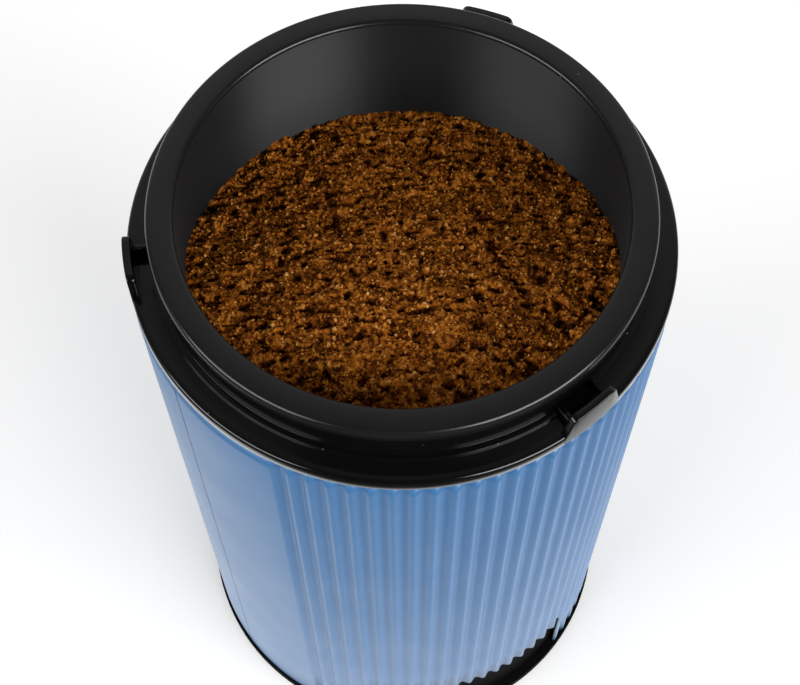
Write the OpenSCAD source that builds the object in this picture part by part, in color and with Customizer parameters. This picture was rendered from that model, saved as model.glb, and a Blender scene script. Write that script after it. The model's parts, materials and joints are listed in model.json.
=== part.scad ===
// Electric spice grinder. A removable cup with a two-winged blade sits in a collar on top of a
// fluted sheet-metal sleeve, and a universal motor hangs under the cup's deck.
// Millimetres, +Z up. The origin is the centre of the plane that the feet stand on.

/* [Sleeve] */
// Radius over the crests of the flutes
sleeve_r = 46.1; // [45:0.1:49]
// Height of the sleeve
sleeve_h = 135.6; // [133:0.1:160]
// Thickness of the sheet
sheet_t = 0.5; // [0.3:0.05:0.7]
// Number of flutes
flute_count = 74; // [50:1:80]
// Depth of a flute from crest to valley
flute_depth = 0.85; // [0.4:0.05:1.1]
// Angle taken up by the smooth panel
panel_angle = 50.4; // [30:0.1:80]
// Direction of the seam in the middle of the smooth panel
seam_az = 217.3; // [200:0.1:235]
// Slit where the two edges of the sheet meet
seam_gap = 0.2; // [0.1:0.05:0.5]
// Height of the cut-out in the sleeve's lower edge
cutout_h = 17.6; // [8:0.1:21]
// Direction where the cut-out starts
cutout_az = 260; // [250:1:280]
// Angle of the cut-out
cutout_angle = 61; // [20:1:65]

/* [Collar] */
// How far the flange's edge lies inside the crests of the flutes
collar_inset = 0.1; // [0:0.05:0.6]
// Thickness of the flange
flange_t = 2.4; // [1.8:0.1:3.5]
// Rounding of the flange's upper edge
flange_round = 0.7; // [0.2:0.1:0.9]
// Height of the neck above the flange
neck_h = 6; // [5:0.1:8]
// Wall of the neck and the cup well
collar_wall = 1.9; // [1.4:0.1:2.2]
// Width of the step at the foot of the neck
foot_step_w = 1.1; // [0.6:0.1:1.3]
// Height of the step at the foot of the neck
foot_step_h = 0.7; // [0.4:0.1:1.2]
// Height of a lid lug above the flange
lug_h = 4.4; // [3:0.1:4.8]
// Thickness of a lid lug
lug_t = 1.4; // [1:0.1:1.7]
// Width of a lid lug at its top
lug_top_w = 8.8; // [6:0.1:12]
// How much wider each sloped end is at the bottom
lug_slope_w = 1.3; // [0.6:0.1:2]
// Direction of the first of the three lugs
lug_az = 70; // [60:1:80]
// Depth of the pocket behind a lug
pocket_d = 0.8; // [0.4:0.1:1.2]

/* [Inner housing] */
// Wall of the inner housing
housing_wall = 1.6; // [1.2:0.1:1.8]
// Space between the cup well and the inner housing
well_space = 1.65; // [1.4:0.05:1.9]
// Thickness of the deck that carries the motor
deck_t = 3; // [2.4:0.1:4]
// Radius of a screw post
post_r = 4; // [3.2:0.1:4.4]
// Distance of the screw posts' centres from the housing's wall
post_inset = 6.35; // [5.6:0.05:6.6]

/* [Base] */
// How far the feet stand proud
foot_proud = 1; // [0.6:0.1:2]
// Radius of a foot
foot_r = 5; // [3.5:0.1:5.4]
// Distance of the feet's centres from the base wall
foot_inset = 7.35; // [6.3:0.05:8.5]
// Height of the lip under the sleeve
lip_h = 2.4; // [2:0.1:3.5]
// How far the lip stands out past the sleeve
lip_proud = 0.5; // [0.2:0.1:1.5]
// Height of the base wall above the lip
base_wall_h = 22.6; // [21.5:0.1:28]
// Thickness of the bottom cover
cover_t = 2.2; // [1.8:0.1:2.4]
// Number of air slots in the bottom cover
vent_count = 16; // [8:1:20]
// Radius of the cord outlet's bore
cord_hole_r = 3.3; // [2.5:0.1:3.8]

/* [Cup] */
// Depth of the cup from its rim to its floor
cup_depth = 47; // [40:0.5:48]
// Wall of the cup
cup_wall = 1.6; // [1.2:0.1:2.2]
// Draft of the cup from its rim to its floor
cup_draft = 0.8; // [0.3:0.1:1.5]
// Thickness of the cup's floor
cup_floor_t = 2.4; // [1.8:0.1:3.5]
// Inner fillet between the wall and the floor
cup_fillet = 6; // [3:0.5:8]
// Thickness of the rim
rim_t = 2.5; // [1.8:0.1:3.5]
// How far the rim reaches out past the neck
rim_over = 0.5; // [0.2:0.1:1]
// Rounding of the rim's outer edge
rim_round = 0.9; // [0.3:0.1:1]
// Rounding of the rim's inner edge
mouth_round = 0.5; // [0.2:0.1:1]
// Height of the skirt below the cup's floor
skirt_h = 14.6; // [14:0.1:18]
// Thickness of the skirt
skirt_t = 2; // [1.6:0.1:3]
// Height of the bearing boss on the cup's floor
boss_h = 5.5; // [4:0.1:8]

/* [Blade] */
// Space between the blade's tips and the cup's wall
tip_space = 5.3; // [3:0.1:9]
// Width of the blade
blade_w = 12; // [9:0.5:14]
// Thickness of the blade
blade_t = 1.5; // [1:0.1:2]
// Pitch of the blade's wings
blade_pitch = 12; // [5:1:18]
// How steeply the blade's tips are bent up
tip_bend = 24; // [10:1:35]
// Radius of the blade spindle
spindle_r = 3; // [2.5:0.1:3.5]

/* [Coupler] */
// Outer radius of the dog teeth
dog_r = 12.5; // [11:0.1:14]
// Inner radius of the dog teeth
dog_ri = 6.5; // [5.8:0.1:7.5]
// Length of a dog tooth
dog_h = 4.9; // [4:0.1:5.2]
// Angle of a dog tooth
dog_angle = 52; // [35:1:55]

/* [Motor] */
// Radius of the motor shaft
shaft_r = 4; // [3:0.1:4.5]
// Space between the cooling fan and the bottom cover
fan_floor = 5.7; // [4:0.1:10]
// Space between the bearing bracket's edge and the stator
stator_space = 3; // [2.2:0.1:4]
// How much less deep than wide the stator is
stator_flat = 9; // [6:0.1:9.4]
// Thickness of the stator's yoke
yoke_t = 4.8; // [4.6:0.05:5]
// Air gap between the armature and the stator
air_gap = 0.5; // [0.3:0.05:0.8]
// Number of armature slots
slot_count = 12; // [8:1:14]
// Thickness of the field coils
coil_t = 4; // [3:0.1:4.1]
// How far the coils and windings stand past the stack
overhang = 6; // [4:0.1:6.4]
// Thickness of the commutator's bars and moulding round the shaft
commutator_t = 5.5; // [4:0.1:6]
// Number of commutator bars
bar_count = 24; // [16:2:28]
// Length of the commutator
commutator_l = 10; // [8:0.1:10.5]
// Space between the cooling fan and the screw posts
fan_space = 5.5; // [3.5:0.5:8]
// Height of the cooling fan
fan_h = 8; // [5:0.5:8.5]
// Number of fan blades
fan_blades = 11; // [7:1:15]

/* [Interlock] */
// Radius of the interlock rod
rod_r = 1.2; // [0.8:0.05:1.3]
// Travel of the interlock rod
rod_travel = 1.5; // [1:0.1:2]
// How far the rod stands proud of the pocket floor
rod_proud = 2.6; // [2:0.1:4]
// Width of the microswitch
switch_w = 20; // [16:0.5:20]
// Depth of the microswitch
switch_d = 6.4; // [5:0.1:7]
// Height of the microswitch
switch_h = 10; // [8:0.1:12]

/* [Circuit board] */
// Width of the circuit board
board_w = 28; // [22:0.5:29]
// Height of the circuit board
board_h = 32; // [28:0.5:33]
// Thickness of the circuit board
board_t = 1.6; // [1:0.1:2]
// Direction of the circuit board
board_az = 180; // [170:1:190]

/* [Hidden] */

$fn = 96;
fine = 160;             // facets of the large round surfaces
eps = 0.01;             // overlap that keeps cuts clean
running = 0.05;         // radial clearance of a running fit
free = 0.3;             // clearance between pieces that pass each other
seat = 0.1;             // clearance under a piece that lifts off

plastic_black = "#141416";
plastic_dark = "#26272b";
paint_blue = "#6f97c4";
steel = "#b9bcc0";
bronze = "#a5793c";
copper = "#b5653a";
rubber_black = "#1b1b1b";

// Heights, from the floor up
sleeve_z = foot_proud + lip_h;
flange_z = sleeve_z + sleeve_h;
ledge_z = flange_z + flange_t;
neck_z = ledge_z + neck_h;
rim_z = neck_z + seat;
cup_top = rim_z + rim_t;
cup_floor = cup_top - cup_depth;
cup_under = cup_floor - cup_floor_t;
skirt_z = cup_under - skirt_h;
deck_z = skirt_z - seat;
deck_under = deck_z - deck_t;
cover_top = foot_proud + cover_t;
base_top = sleeve_z + base_wall_h;

// Radii, from the sleeve inwards
sleeve_in = sleeve_r - flute_depth - sheet_t;
housing_r = sleeve_in - free;
housing_in = housing_r - housing_wall;
collar_r = sleeve_r - collar_inset;
post_pos = housing_in - post_inset;
foot_pos = housing_in - foot_inset;
well_r = housing_in - well_space;
well_in = well_r - collar_wall;
cup_clear = 0.6;
cup_r = well_in - cup_clear;
cup_in = cup_r - cup_wall;
rim_r = well_r + rim_over;
lip_r = sleeve_r + lip_proud;
cup_low_r = cup_r - cup_draft;
cup_low_in = cup_in - cup_draft;
blade_reach = cup_low_in - tip_space;

// Screw posts and the parts of the base
post_count = 3;
post_z = 18;
post_grip = 8.4;
screw_r = 1.7;
head_r = 3.2;
head_h = 2;
cover_sink = 1.4;
cover_screw_z = foot_proud + cover_sink - head_h;
seat_w = 3.2;
seat_t = 1.6;
spigot_h = 4;
spigot_t = 1.3;
spigot_gap = 0.15;
foot_sink = 1.2;
cord_z = sleeve_z + 8.2;
cord_pad_w = 15;
cord_pad_h = 13.4;
cord_pad_out = housing_r + 0.5;
cord_pad_in = housing_in - 2.2;
grommet_r = 6.3;
grommet_neck = 4.8;
grommet_flange = 1.3;

// Motor, hung from the deck
deck_boss_h = 3;
damper_h = 3;
damper_r = 6;
damper_inset = 5.5;
post_gap = 1.5;
bracket_t = 3;
bracket_r = post_pos - post_r - post_gap;
damper_pos = bracket_r - damper_inset;
bracket_leg = 8;
bracket_z = deck_under - deck_boss_h - damper_h - bracket_t;
lower_leg = 19;
lower_r = bracket_r - 2;
bearing_h = 7;
bearing_r = 7;
bearing_boss_r = 9.5;
winding_gap = 1;
fan_gap = 1;
fan_r = post_pos - post_r - fan_space;
fan_z = cover_top + fan_floor;
lower_z = fan_z + fan_h + fan_gap + bearing_h - bracket_t;
stack_z = lower_z + bracket_t + lower_leg;
stack_top = bracket_z - bracket_leg;
stack_h = stack_top - stack_z;
stator_w = 2 * (bracket_r - stator_space);
stator_d = stator_w - stator_flat;
window_w = stator_w - 2 * yoke_t;
window_d = stator_d - 2 * yoke_t;
outline_r = stator_w / 2 + 1;
corner_r = outline_r - 1.6;
screw_pos = (stator_d - yoke_t) / 2;
stator_screw_r = 1.5;
leg_r = 3;
shoe_t = 3;
shoe_gap = 0.5;
neck_w = 14;
coil_gap = 0.4;
coil_corner_gap = 0.65;
coil_out = window_w / 2 - coil_gap;
coil_w = sqrt(pow(corner_r - coil_corner_gap, 2) - pow(coil_out, 2)) - neck_w / 2 - coil_gap;
bore_r = coil_out - coil_t - shoe_gap - shoe_t;
core_r = bore_r - air_gap;
winding_w = core_r - shaft_r - 3;
winding_round = 1.5;
slot_r = 0.2194 * 2 * PI * core_r / slot_count;
slot_inset = slot_r + 1.5;
slot_mouth = 1.2;
commutator_r = shaft_r + commutator_t;
commutator_z = lower_z + bracket_t + 2.5;
brush_z = commutator_z + commutator_l / 2;
brush_w = 6;
brush_t = 5;
brush_gap = 0.2;
brush_spring_r = 1.7;
brush_wire_r = 0.25;
brush_share = 0.606;    // part of the holder that a new brush fills
holder_wall = 1.2;
holder_x = commutator_r + 2;
holder_l = bracket_r - 3 - holder_x;
brush_l = brush_share * holder_l;

// Coupler between the motor shaft and the cup
drive_z = deck_z + 2.4;
drive_t = 2.5;
dog_z = drive_z + drive_t;
dog_end_gap = 0.4;
driven_z = dog_z + dog_h + dog_end_gap;
driven_t = 2.1;
boss_low = cup_under - driven_z - driven_t - free;
boss_r = 7.5;
boss_flare = 1.5;
bush_r = 5;
seal_t = 1;
shoulder_h = 1.2;
blade_z = cup_floor + boss_h + shoulder_h;
hub_r = blade_w / 2 + 2;
wing_root = hub_r - 1.5;
tip_l = 7;
wing_taper = 1.5;
bevel_w = 1.8;
washer_t = 0.8;
nut_h = 3.6;
nut_r = 5;
washer_r = 5.8;
spindle_top = blade_z + blade_t + washer_t + nut_h - 1;
key_count = 3;
key_w = 7;
key_h = 4.2;
key_gap = 0.4;
key_az = 30;

// Lid lugs, and the stop in the pocket behind each one
lug_corner = 0.9;
rib_w = 1;
rib_h = 2.6;

// Interlock, in line with the first lug
switch_drop = 20;
rod_pos = (well_r + sleeve_in) / 2;
rod_top = ledge_z - pocket_d + rod_proud;
switch_top = deck_z - switch_drop;
button_h = rod_travel + 0.7;
foot_z = switch_top + button_h + seat;
rod_foot_h = 3;
rod_foot_w = 2;
switch_out = housing_in - 1.7;
switch_in = switch_out - switch_d;
switch_mid = (switch_in + switch_out) / 2;
spring_l = 9;
rod_slot_w = 2 * (rod_r + free);
switch_screw_r = 0.95;
switch_head_r = 1.8;
switch_head_h = 1.2;
switch_grip = 2;
tag_w = 3.2;
tag_t = 0.6;
tag_l = 4;
switch_button_w = 3;
spring_r = 0.85;
spring_wire_r = 0.2;

// Circuit board, on two bosses
board_out = housing_in - 3.4;
board_in = board_out - board_t;
board_rise = 5.9;
board_screw_dz = board_h - 8;
board_mid_z = base_top + spigot_h + board_rise + board_screw_dz / 2;
board_screw_r = 1.2;
board_head_r = 2.2;
board_head_h = 1.4;
board_grip = 3;
board_boss_r = 3;
part_gap = 0.45;
part_edge = 2;
cap_t = board_in - bracket_r - part_gap;
cap_w = 15;
cap_h = 10;
cap_z = -2;
choke_t = 5;
choke_w = 8;
choke_h = 12;
choke_z = -8;
drop_r = 1.6;
drop_l = 4.5;
drop_pitch = 5;
drop_z = -6;

// A ring between two radii
module ring(r_out, r_in, h) {
    difference() {
        cylinder(r = r_out, h = h);
        translate([0, 0, -1]) cylinder(r = r_in, h = h + 2);
    }
}

// A slice of a ring, centred on the X axis
module ring_slice(r_out, r_in, h, angle) {
    rotate([0, 0, -angle / 2])
        rotate_extrude(angle = angle, $fn = fine)
            translate([r_in, 0]) square([r_out - r_in, h]);
}

// A flat rectangle with round corners
module round_rect(w, d, r) {
    square([w - 2 * r, d], center = true);
    square([w, d - 2 * r], center = true);
    for (sx = [-1, 1], sy = [-1, 1])
        translate([sx * (w / 2 - r), sy * (d / 2 - r)]) circle(r = r, $fn = 32);
}

// Copies of a child round the Z axis
module around(count, first = 0) {
    for (i = [0 : count - 1]) rotate([0, 0, first + i * 360 / count]) children();
}

// A countersunk or pan-headed screw that points up from its head
module screw(r, h, r_head, h_head) {
    difference() {
        union() {
            cylinder(r = r_head, h = h_head, $fn = 40);
            cylinder(r = r, h = h, $fn = 32);
        }
        for (turn = [0, 90])
            rotate([0, 0, turn]) cube([r_head * 1.2, 0.8, 1.6], center = true);
    }
}

// A helical spring with closed sides, from z = 0 to z = length
function helix_point(r, length, turns, t) =
    [r * cos(360 * turns * t), r * sin(360 * turns * t), length * t];
function wire_ring(r, wire, length, turns, t, sides) =
    let (c = helix_point(r, length - 2 * wire, turns, t), turn = 360 * turns * t)
    [for (j = [0 : sides - 1])
        let (a = 360 * j / sides)
        [c[0] + wire * cos(a) * cos(turn), c[1] + wire * cos(a) * sin(turn), c[2] + wire * (1 + sin(a))]];
module spring(r, wire, length, turns, steps = 12, sides = 6) {
    count = turns * steps;
    points = [for (i = [0 : count]) each wire_ring(r, wire, length, turns, i / count, sides)];
    skin = [for (i = [0 : count - 1], j = [0 : sides - 1])
        let (k = (j + 1) % sides)
        each [[i * sides + j, (i + 1) * sides + k, i * sides + k],
              [i * sides + j, (i + 1) * sides + j, (i + 1) * sides + k]]];
    ends = [[for (j = [0 : sides - 1]) j], [for (j = [sides - 1 : -1 : 0]) count * sides + j]];
    polyhedron(points = points, faces = concat(skin, ends), convexity = 8);
}

// ---- sleeve ----

flute_angle = (360 - panel_angle) / flute_count;
flute_steps = 6;
panel_steps = 24;
seam_half = seam_gap / sleeve_r * 90 / PI;

// How deep the sheet lies below the crests, as a share of one flute
function flute_drop(t) = flute_depth * (1 - cos(360 * t)) / 2;

// Direction and radius of each point along the rolled sheet, from one edge at the seam to the other
sheet_line = concat(
    [for (i = [0 : panel_steps / 2 - 1])
        [seam_az + seam_half + (panel_angle / 2 - seam_half) * 2 * i / panel_steps, sleeve_r]],
    [for (i = [0 : flute_count * flute_steps])
        [seam_az + panel_angle / 2 + i * flute_angle / flute_steps, sleeve_r - flute_drop(i / flute_steps)]],
    [for (i = [1 : panel_steps / 2])
        [seam_az - panel_angle / 2 + (panel_angle / 2 - seam_half) * 2 * i / panel_steps + 360, sleeve_r]]);

function polar(p, inset) = [(p[1] - inset) * cos(p[0]), (p[1] - inset) * sin(p[0])];

module outer_sleeve() {
    last = len(sheet_line) - 1;
    color(paint_blue)
    difference() {
        translate([0, 0, sleeve_z])
            linear_extrude(sleeve_h, convexity = 8)
                polygon([for (i = [0 : last]) polar(sheet_line[i], 0),
                         for (i = [last : -1 : 0]) polar(sheet_line[i], sheet_t)]);
        translate([0, 0, sleeve_z - 1])
            rotate([0, 0, cutout_az + cutout_angle / 2])
                ring_slice(sleeve_r + 2, sleeve_in - 2, cutout_h + 1, cutout_angle);
        translate([-cord_pad_w / 2 - free, 0, sleeve_z - 1])
            cube([cord_pad_w + 2 * free, sleeve_r + 2, cord_z - sleeve_z + cord_pad_h / 2 + free + 1]);
    }
}

// ---- collar ----

module lug() {
    half = lug_top_w / 2;
    flat_h = lug_h - lug_corner;
    intersection() {
        translate([0, 0, ledge_z - eps]) ring(collar_r, collar_r - lug_t, lug_h + 1, $fn = fine);
        translate([collar_r / 2, 0, ledge_z - eps])
            rotate([90, 0, 90])
                linear_extrude(collar_r) {
                    polygon([[-half - lug_slope_w, 0], [half + lug_slope_w, 0],
                             [half, flat_h], [-half, flat_h]]);
                    for (side = [-1, 1])
                        translate([side * (half - lug_corner), flat_h]) circle(r = lug_corner, $fn = 32);
                    translate([lug_corner - half, 0]) square([lug_top_w - 2 * lug_corner, lug_h]);
                }
    }
}

// The stop for the lid's tab at the low end of a pocket, from the neck to the lug
module pocket_rib(pocket_angle) {
    rotate([0, 0, -pocket_angle / 2])
        translate([well_r - 1, 0, ledge_z - pocket_d - 1])
            cube([collar_r - lug_t - well_r + 1.5, rib_w, rib_h + 1]);
}

module collar_profile() {
    translate([well_in, deck_z]) square([collar_wall, neck_z - deck_z]);
    translate([well_in, ledge_z]) square([collar_wall + foot_step_w, foot_step_h]);
    translate([well_in, flange_z - spigot_h]) square([housing_in - spigot_gap - well_in, spigot_h + eps]);
    translate([well_in, flange_z]) square([collar_r - well_in, flange_t - flange_round]);
    translate([well_in, flange_z]) square([collar_r - flange_round - well_in, flange_t]);
    translate([collar_r - flange_round, ledge_z - flange_round]) circle(r = flange_round, $fn = 32);
}

module collar() {
    pocket_angle = 2 * asin(lug_top_w / 2 / collar_r);
    color(plastic_black)
    difference() {
        union() {
            rotate_extrude($fn = fine) collar_profile();
            around(3, lug_az) lug();
            around(3, lug_az) pocket_rib(pocket_angle);
        }
        around(3, lug_az)
            translate([0, 0, ledge_z - pocket_d])
                difference() {
                    ring_slice(collar_r - lug_t, well_r + eps, lug_h, pocket_angle);
                    rotate([0, 0, -pocket_angle / 2])
                        translate([well_in, 0, -eps]) cube([collar_r - well_in, rib_w, rib_h]);
                }
        rotate([0, 0, lug_az])
            translate([rod_pos, 0, flange_z - spigot_h - 1])
                cylinder(r = rod_r + running, h = spigot_h + flange_t + 2, $fn = 40);
    }
}

// ---- inner housing, base and bottom cover ----

module post_places() {
    around(post_count) translate([post_pos, 0, 0]) children();
}

// The slot that the interlock rod and its spring run in
module rod_slot() {
    rotate([0, 0, lug_az])
        translate([rod_pos - rod_r - free, -rod_slot_w / 2, foot_z - spring_l])
            cube([housing_r, rod_slot_w, flange_z]);
}

module inner_housing() {
    color(plastic_dark)
    difference() {
        union() {
            translate([0, 0, base_top]) ring(housing_r, housing_in, flange_z - base_top, $fn = fine);
            translate([0, 0, deck_under - deck_t])
                ring(housing_in + eps, housing_in - spigot_t, deck_t, $fn = fine);
            rotate([0, 0, lug_az])
                translate([0, 0, switch_top - switch_h])
                    intersection() {
                        translate([switch_out, -switch_w / 2, 0]) cube([housing_r, switch_w, switch_h]);
                        cylinder(r = housing_in + eps, h = switch_h, $fn = fine);
                    }
            rotate([0, 0, board_az])
                for (side = [-1, 1])
                    intersection() {
                        translate([board_out, 0, board_mid_z + side * board_screw_dz / 2])
                            rotate([0, 90, 0])
                                cylinder(r = board_boss_r, h = housing_in - board_out + 1, $fn = 40);
                        cylinder(r = housing_in + eps, h = deck_z, $fn = fine);
                    }
        }
        rod_slot();
        rotate([0, 0, lug_az])
            for (side = [-1, 1])
                translate([switch_out - 1, side * switch_w / 4, switch_top - switch_h / 2])
                    rotate([0, 90, 0]) cylinder(r = switch_screw_r, h = switch_grip + 1.2, $fn = 24);
        rotate([0, 0, board_az])
            for (side = [-1, 1])
                translate([board_out - 1, 0, board_mid_z + side * board_screw_dz / 2])
                    rotate([0, 90, 0]) cylinder(r = board_screw_r, h = board_grip + 2, $fn = 24);
    }
}

// The deck that the cup sits over and the motor hangs from, on three posts
module motor_frame() {
    color(plastic_dark)
    difference() {
        union() {
            translate([0, 0, deck_under]) cylinder(r = housing_in - spigot_gap, h = deck_t, $fn = fine);
            translate([0, 0, deck_under]) cylinder(r = bearing_boss_r + 2, h = deck_t + 1.8);
            post_places() translate([0, 0, post_z]) cylinder(r = post_r, h = deck_under - post_z + eps);
            around(4, 45) translate([damper_pos, 0, deck_under - deck_boss_h])
                cylinder(r = damper_r - 1, h = deck_boss_h + eps);
            around(key_count, key_az) translate([0, 0, deck_z - eps])
                intersection() {
                    ring(cup_low_r - free, cup_low_r - skirt_t + free, key_h, $fn = fine);
                    translate([0, -key_w / 2, 0]) cube([cup_r, key_w, key_h]);
                }
        }
        translate([0, 0, deck_under - 1]) cylinder(r = bearing_boss_r, h = deck_t + 4);
        post_places() translate([0, 0, post_z - 1]) cylinder(r = screw_r, h = post_grip + 4);
        around(4, 45) translate([damper_pos, 0, deck_under - deck_boss_h - 1])
            cylinder(r = screw_r, h = deck_boss_h + deck_t);
        rod_slot();
    }
}

module base_ring() {
    color(plastic_black)
    difference() {
        union() {
            translate([0, 0, foot_proud]) ring(lip_r, housing_in, lip_h, $fn = fine);
            translate([0, 0, sleeve_z - eps]) ring(housing_r, housing_in, base_wall_h + eps, $fn = fine);
            translate([0, 0, cover_top]) ring(housing_in + eps, housing_in - seat_w, seat_t, $fn = fine);
            translate([0, 0, base_top - spigot_h])
                ring(housing_in - spigot_gap, housing_in - spigot_gap - spigot_t, 2 * spigot_h, $fn = fine);
            translate([0, 0, base_top - spigot_h])
                ring(housing_in + eps, housing_in - 1, spigot_h - 0.5, $fn = fine);
            post_places() translate([0, 0, cover_top])
                rotate([0, 0, 90]) cylinder(r = post_r, h = post_z - cover_top);
            translate([-cord_pad_w / 2, cord_pad_in, cord_z - cord_pad_h / 2])
                cube([cord_pad_w, cord_pad_out - cord_pad_in, cord_pad_h]);
        }
        post_places() cylinder(r = screw_r + 0.2, h = post_z + 1);
        translate([0, cord_pad_in - 1, cord_z]) rotate([-90, 0, 0]) cylinder(r = grommet_neck, h = 10);
    }
}

module bottom_cover() {
    cover_r = housing_in - free;
    slot_w = 2.2;
    slot_in = 9;
    slot_out = post_pos - 8.5;
    slot_l = (slot_out - slot_in - 3) / 2;
    color(plastic_dark)
    difference() {
        translate([0, 0, foot_proud]) cylinder(r = cover_r, h = cover_t, $fn = fine);
        around(vent_count)
            for (x = [slot_in, slot_out - slot_l])
                translate([x, 0, 0]) {
                    translate([0, -slot_w / 2, 0]) cube([slot_l, slot_w, 10]);
                    for (end = [0, slot_l]) translate([end, 0, 0]) cylinder(d = slot_w, h = 10, $fn = 24);
                }
        post_places() {
            cylinder(r = screw_r + 0.2, h = 10);
            cylinder(r = head_r + free, h = foot_proud + cover_sink);
        }
        around(4, 45) translate([foot_pos, 0, 0]) cylinder(r = foot_r, h = foot_proud + foot_sink);
    }
}

module rubber_feet() {
    color(rubber_black)
    around(4, 45) translate([foot_pos, 0, 0]) cylinder(r = foot_r, h = foot_proud + foot_sink);
}

module cover_screws() {
    color(steel)
    post_places() translate([0, 0, cover_screw_z])
        screw(screw_r, post_z + post_grip - cover_screw_z, head_r, head_h);
}

module cord_grommet() {
    color(rubber_black)
    translate([0, 0, cord_z]) rotate([-90, 0, 0])
        difference() {
            union() {
                translate([0, 0, cord_pad_in]) cylinder(r = grommet_neck, h = cord_pad_out - cord_pad_in);
                translate([0, 0, cord_pad_out]) cylinder(r = grommet_r, h = grommet_flange);
                translate([0, 0, cord_pad_in - grommet_flange]) cylinder(r = grommet_r, h = grommet_flange);
            }
            cylinder(r = cord_hole_r, h = lip_r + 10);
        }
}

// ---- motor, standing parts ----

module shaft_seal() {
    color(rubber_black)
    translate([0, 0, deck_under])
        difference() {
            union() {
                cylinder(r = bearing_boss_r, h = deck_t);
                cylinder(r = shaft_r + 2, h = deck_t + 1);
            }
            translate([0, 0, -1]) cylinder(r = shaft_r + free, h = deck_t + 3);
        }
}

module motor_dampers() {
    color(rubber_black)
    around(4, 45) translate([damper_pos, 0, bracket_z + bracket_t])
        ring(damper_r, screw_r + 0.3, damper_h);
}

module mount_screws() {
    color(steel)
    around(4, 45) translate([damper_pos, 0, bracket_z - head_h])
        screw(screw_r, head_h + bracket_t + damper_h + deck_boss_h + 2, head_r + 0.3, head_h);
}

// A bearing bracket: a disc with air windows, a bearing boss and two legs to the stator
module bracket_body(r, z, leg_z, leg_h, boss_z, window_out) {
    difference() {
        union() {
            translate([0, 0, z]) cylinder(r = r, h = bracket_t);
            translate([0, 0, boss_z]) cylinder(r = bearing_boss_r, h = bearing_h);
            for (side = [-1, 1]) translate([0, side * screw_pos, leg_z]) cylinder(r = leg_r, h = leg_h);
        }
        around(4, 45) translate([0, 0, z - 1])
            ring_slice(window_out, bearing_boss_r + 2.5, bracket_t + 2, 50);
        translate([0, 0, boss_z - 1]) cylinder(r = bearing_r, h = bearing_h + 2);
        for (side = [-1, 1])
            translate([0, side * screw_pos, leg_z - bracket_t - 1])
                cylinder(r = stator_screw_r, h = leg_h + 2 * bracket_t + 2, $fn = 32);
    }
}

upper_boss_z = stack_top + overhang + winding_gap;

module upper_bracket() {
    color("#8d9196")
    difference() {
        bracket_body(bracket_r, bracket_z, stack_top, bracket_leg + eps, upper_boss_z, damper_pos - damper_r);
        around(4, 45) translate([damper_pos, 0, bracket_z - 1])
            cylinder(r = screw_r + 0.3, h = bracket_t + 2, $fn = 32);
    }
}

module lower_bracket() {
    color("#8d9196")
    bracket_body(lower_r, lower_z, lower_z + bracket_t - eps, lower_leg + eps,
                 lower_z + bracket_t - bearing_h, lower_r - 5);
}

module bearing() {
    ring(bearing_r, shaft_r + running, bearing_h);
}

module upper_bearing() {
    color(bronze) translate([0, 0, upper_boss_z]) bearing();
}

module lower_bearing() {
    color(bronze) translate([0, 0, lower_z + bracket_t - bearing_h]) bearing();
}

module stator_core() {
    color("#6e7277")
    translate([0, 0, stack_z])
        linear_extrude(stack_h, convexity = 6)
            difference() {
                union() {
                    difference() {
                        intersection() {
                            circle(r = outline_r);
                            square([stator_w, stator_d], center = true);
                        }
                        intersection() {
                            circle(r = corner_r);
                            square([window_w, window_d], center = true);
                        }
                    }
                    square([stator_w - yoke_t, neck_w], center = true);
                    difference() {
                        circle(r = bore_r + shoe_t);
                        for (side = [-1, 1])
                            translate([0, side * (bore_r + shoe_t)])
                                square([2 * bore_r - 4.6, 2 * shoe_t + 5], center = true);
                    }
                }
                circle(r = bore_r);
                for (side = [-1, 1]) translate([0, side * screw_pos])
                    circle(r = stator_screw_r + 0.2, $fn = 32);
            }
}

module field_coils() {
    inner_w = neck_w + 2 * coil_gap;
    inner_h = stack_h + 2 * coil_gap;
    color(copper)
    for (side = [0, 180])
        rotate([0, 0, side])
            translate([coil_out - coil_t, 0, stack_z + stack_h / 2])
                rotate([90, 0, 90])
                    linear_extrude(coil_t)
                        difference() {
                            round_rect(inner_w + 2 * coil_w, stack_h + 2 * overhang, 4);
                            square([inner_w, inner_h], center = true);
                        }
}

module stator_screws() {
    start = lower_z - head_h;
    color(steel)
    for (side = [-1, 1])
        translate([0, side * screw_pos, start])
            screw(stator_screw_r, stack_top + bracket_leg - start, leg_r, head_h);
}

module brush_places() {
    for (side = [0, 180]) rotate([0, 0, side]) children();
}

module brush_holders() {
    foot_w = brush_w + 2 * holder_wall;
    foot_top = brush_z - brush_t / 2 - holder_wall;
    color(bronze)
    brush_places()
        translate([holder_x, 0, 0])
            difference() {
                translate([0, -foot_w / 2, lower_z + bracket_t])
                    cube([holder_l, foot_w, foot_top - lower_z - bracket_t + brush_t + 2 * holder_wall]);
                translate([-1, -brush_w / 2 - seat, brush_z - brush_t / 2 - seat])
                    cube([holder_l - holder_wall + 1, brush_w + 2 * seat, brush_t + 2 * seat]);
            }
}

module carbon_brushes() {
    color("#2d2d2f")
    brush_places()
        translate([commutator_r + brush_gap, -brush_w / 2, brush_z - brush_t / 2])
            difference() {
                cube([brush_l, brush_w, brush_t]);
                translate([-commutator_r - brush_gap, brush_w / 2, -1])
                    cylinder(r = commutator_r + brush_gap + 0.4, h = brush_t + 2);
            }
}

module brush_springs() {
    start = commutator_r + brush_gap + brush_l;
    color(steel)
    brush_places()
        translate([start, 0, brush_z])
            rotate([0, 90, 0])
                spring(brush_spring_r, brush_wire_r, holder_x + holder_l - holder_wall - start, 6);
}

// ---- electrics ----

module on_board() {
    rotate([0, 0, board_az]) translate([board_in, 0, board_mid_z]) children();
}

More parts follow.
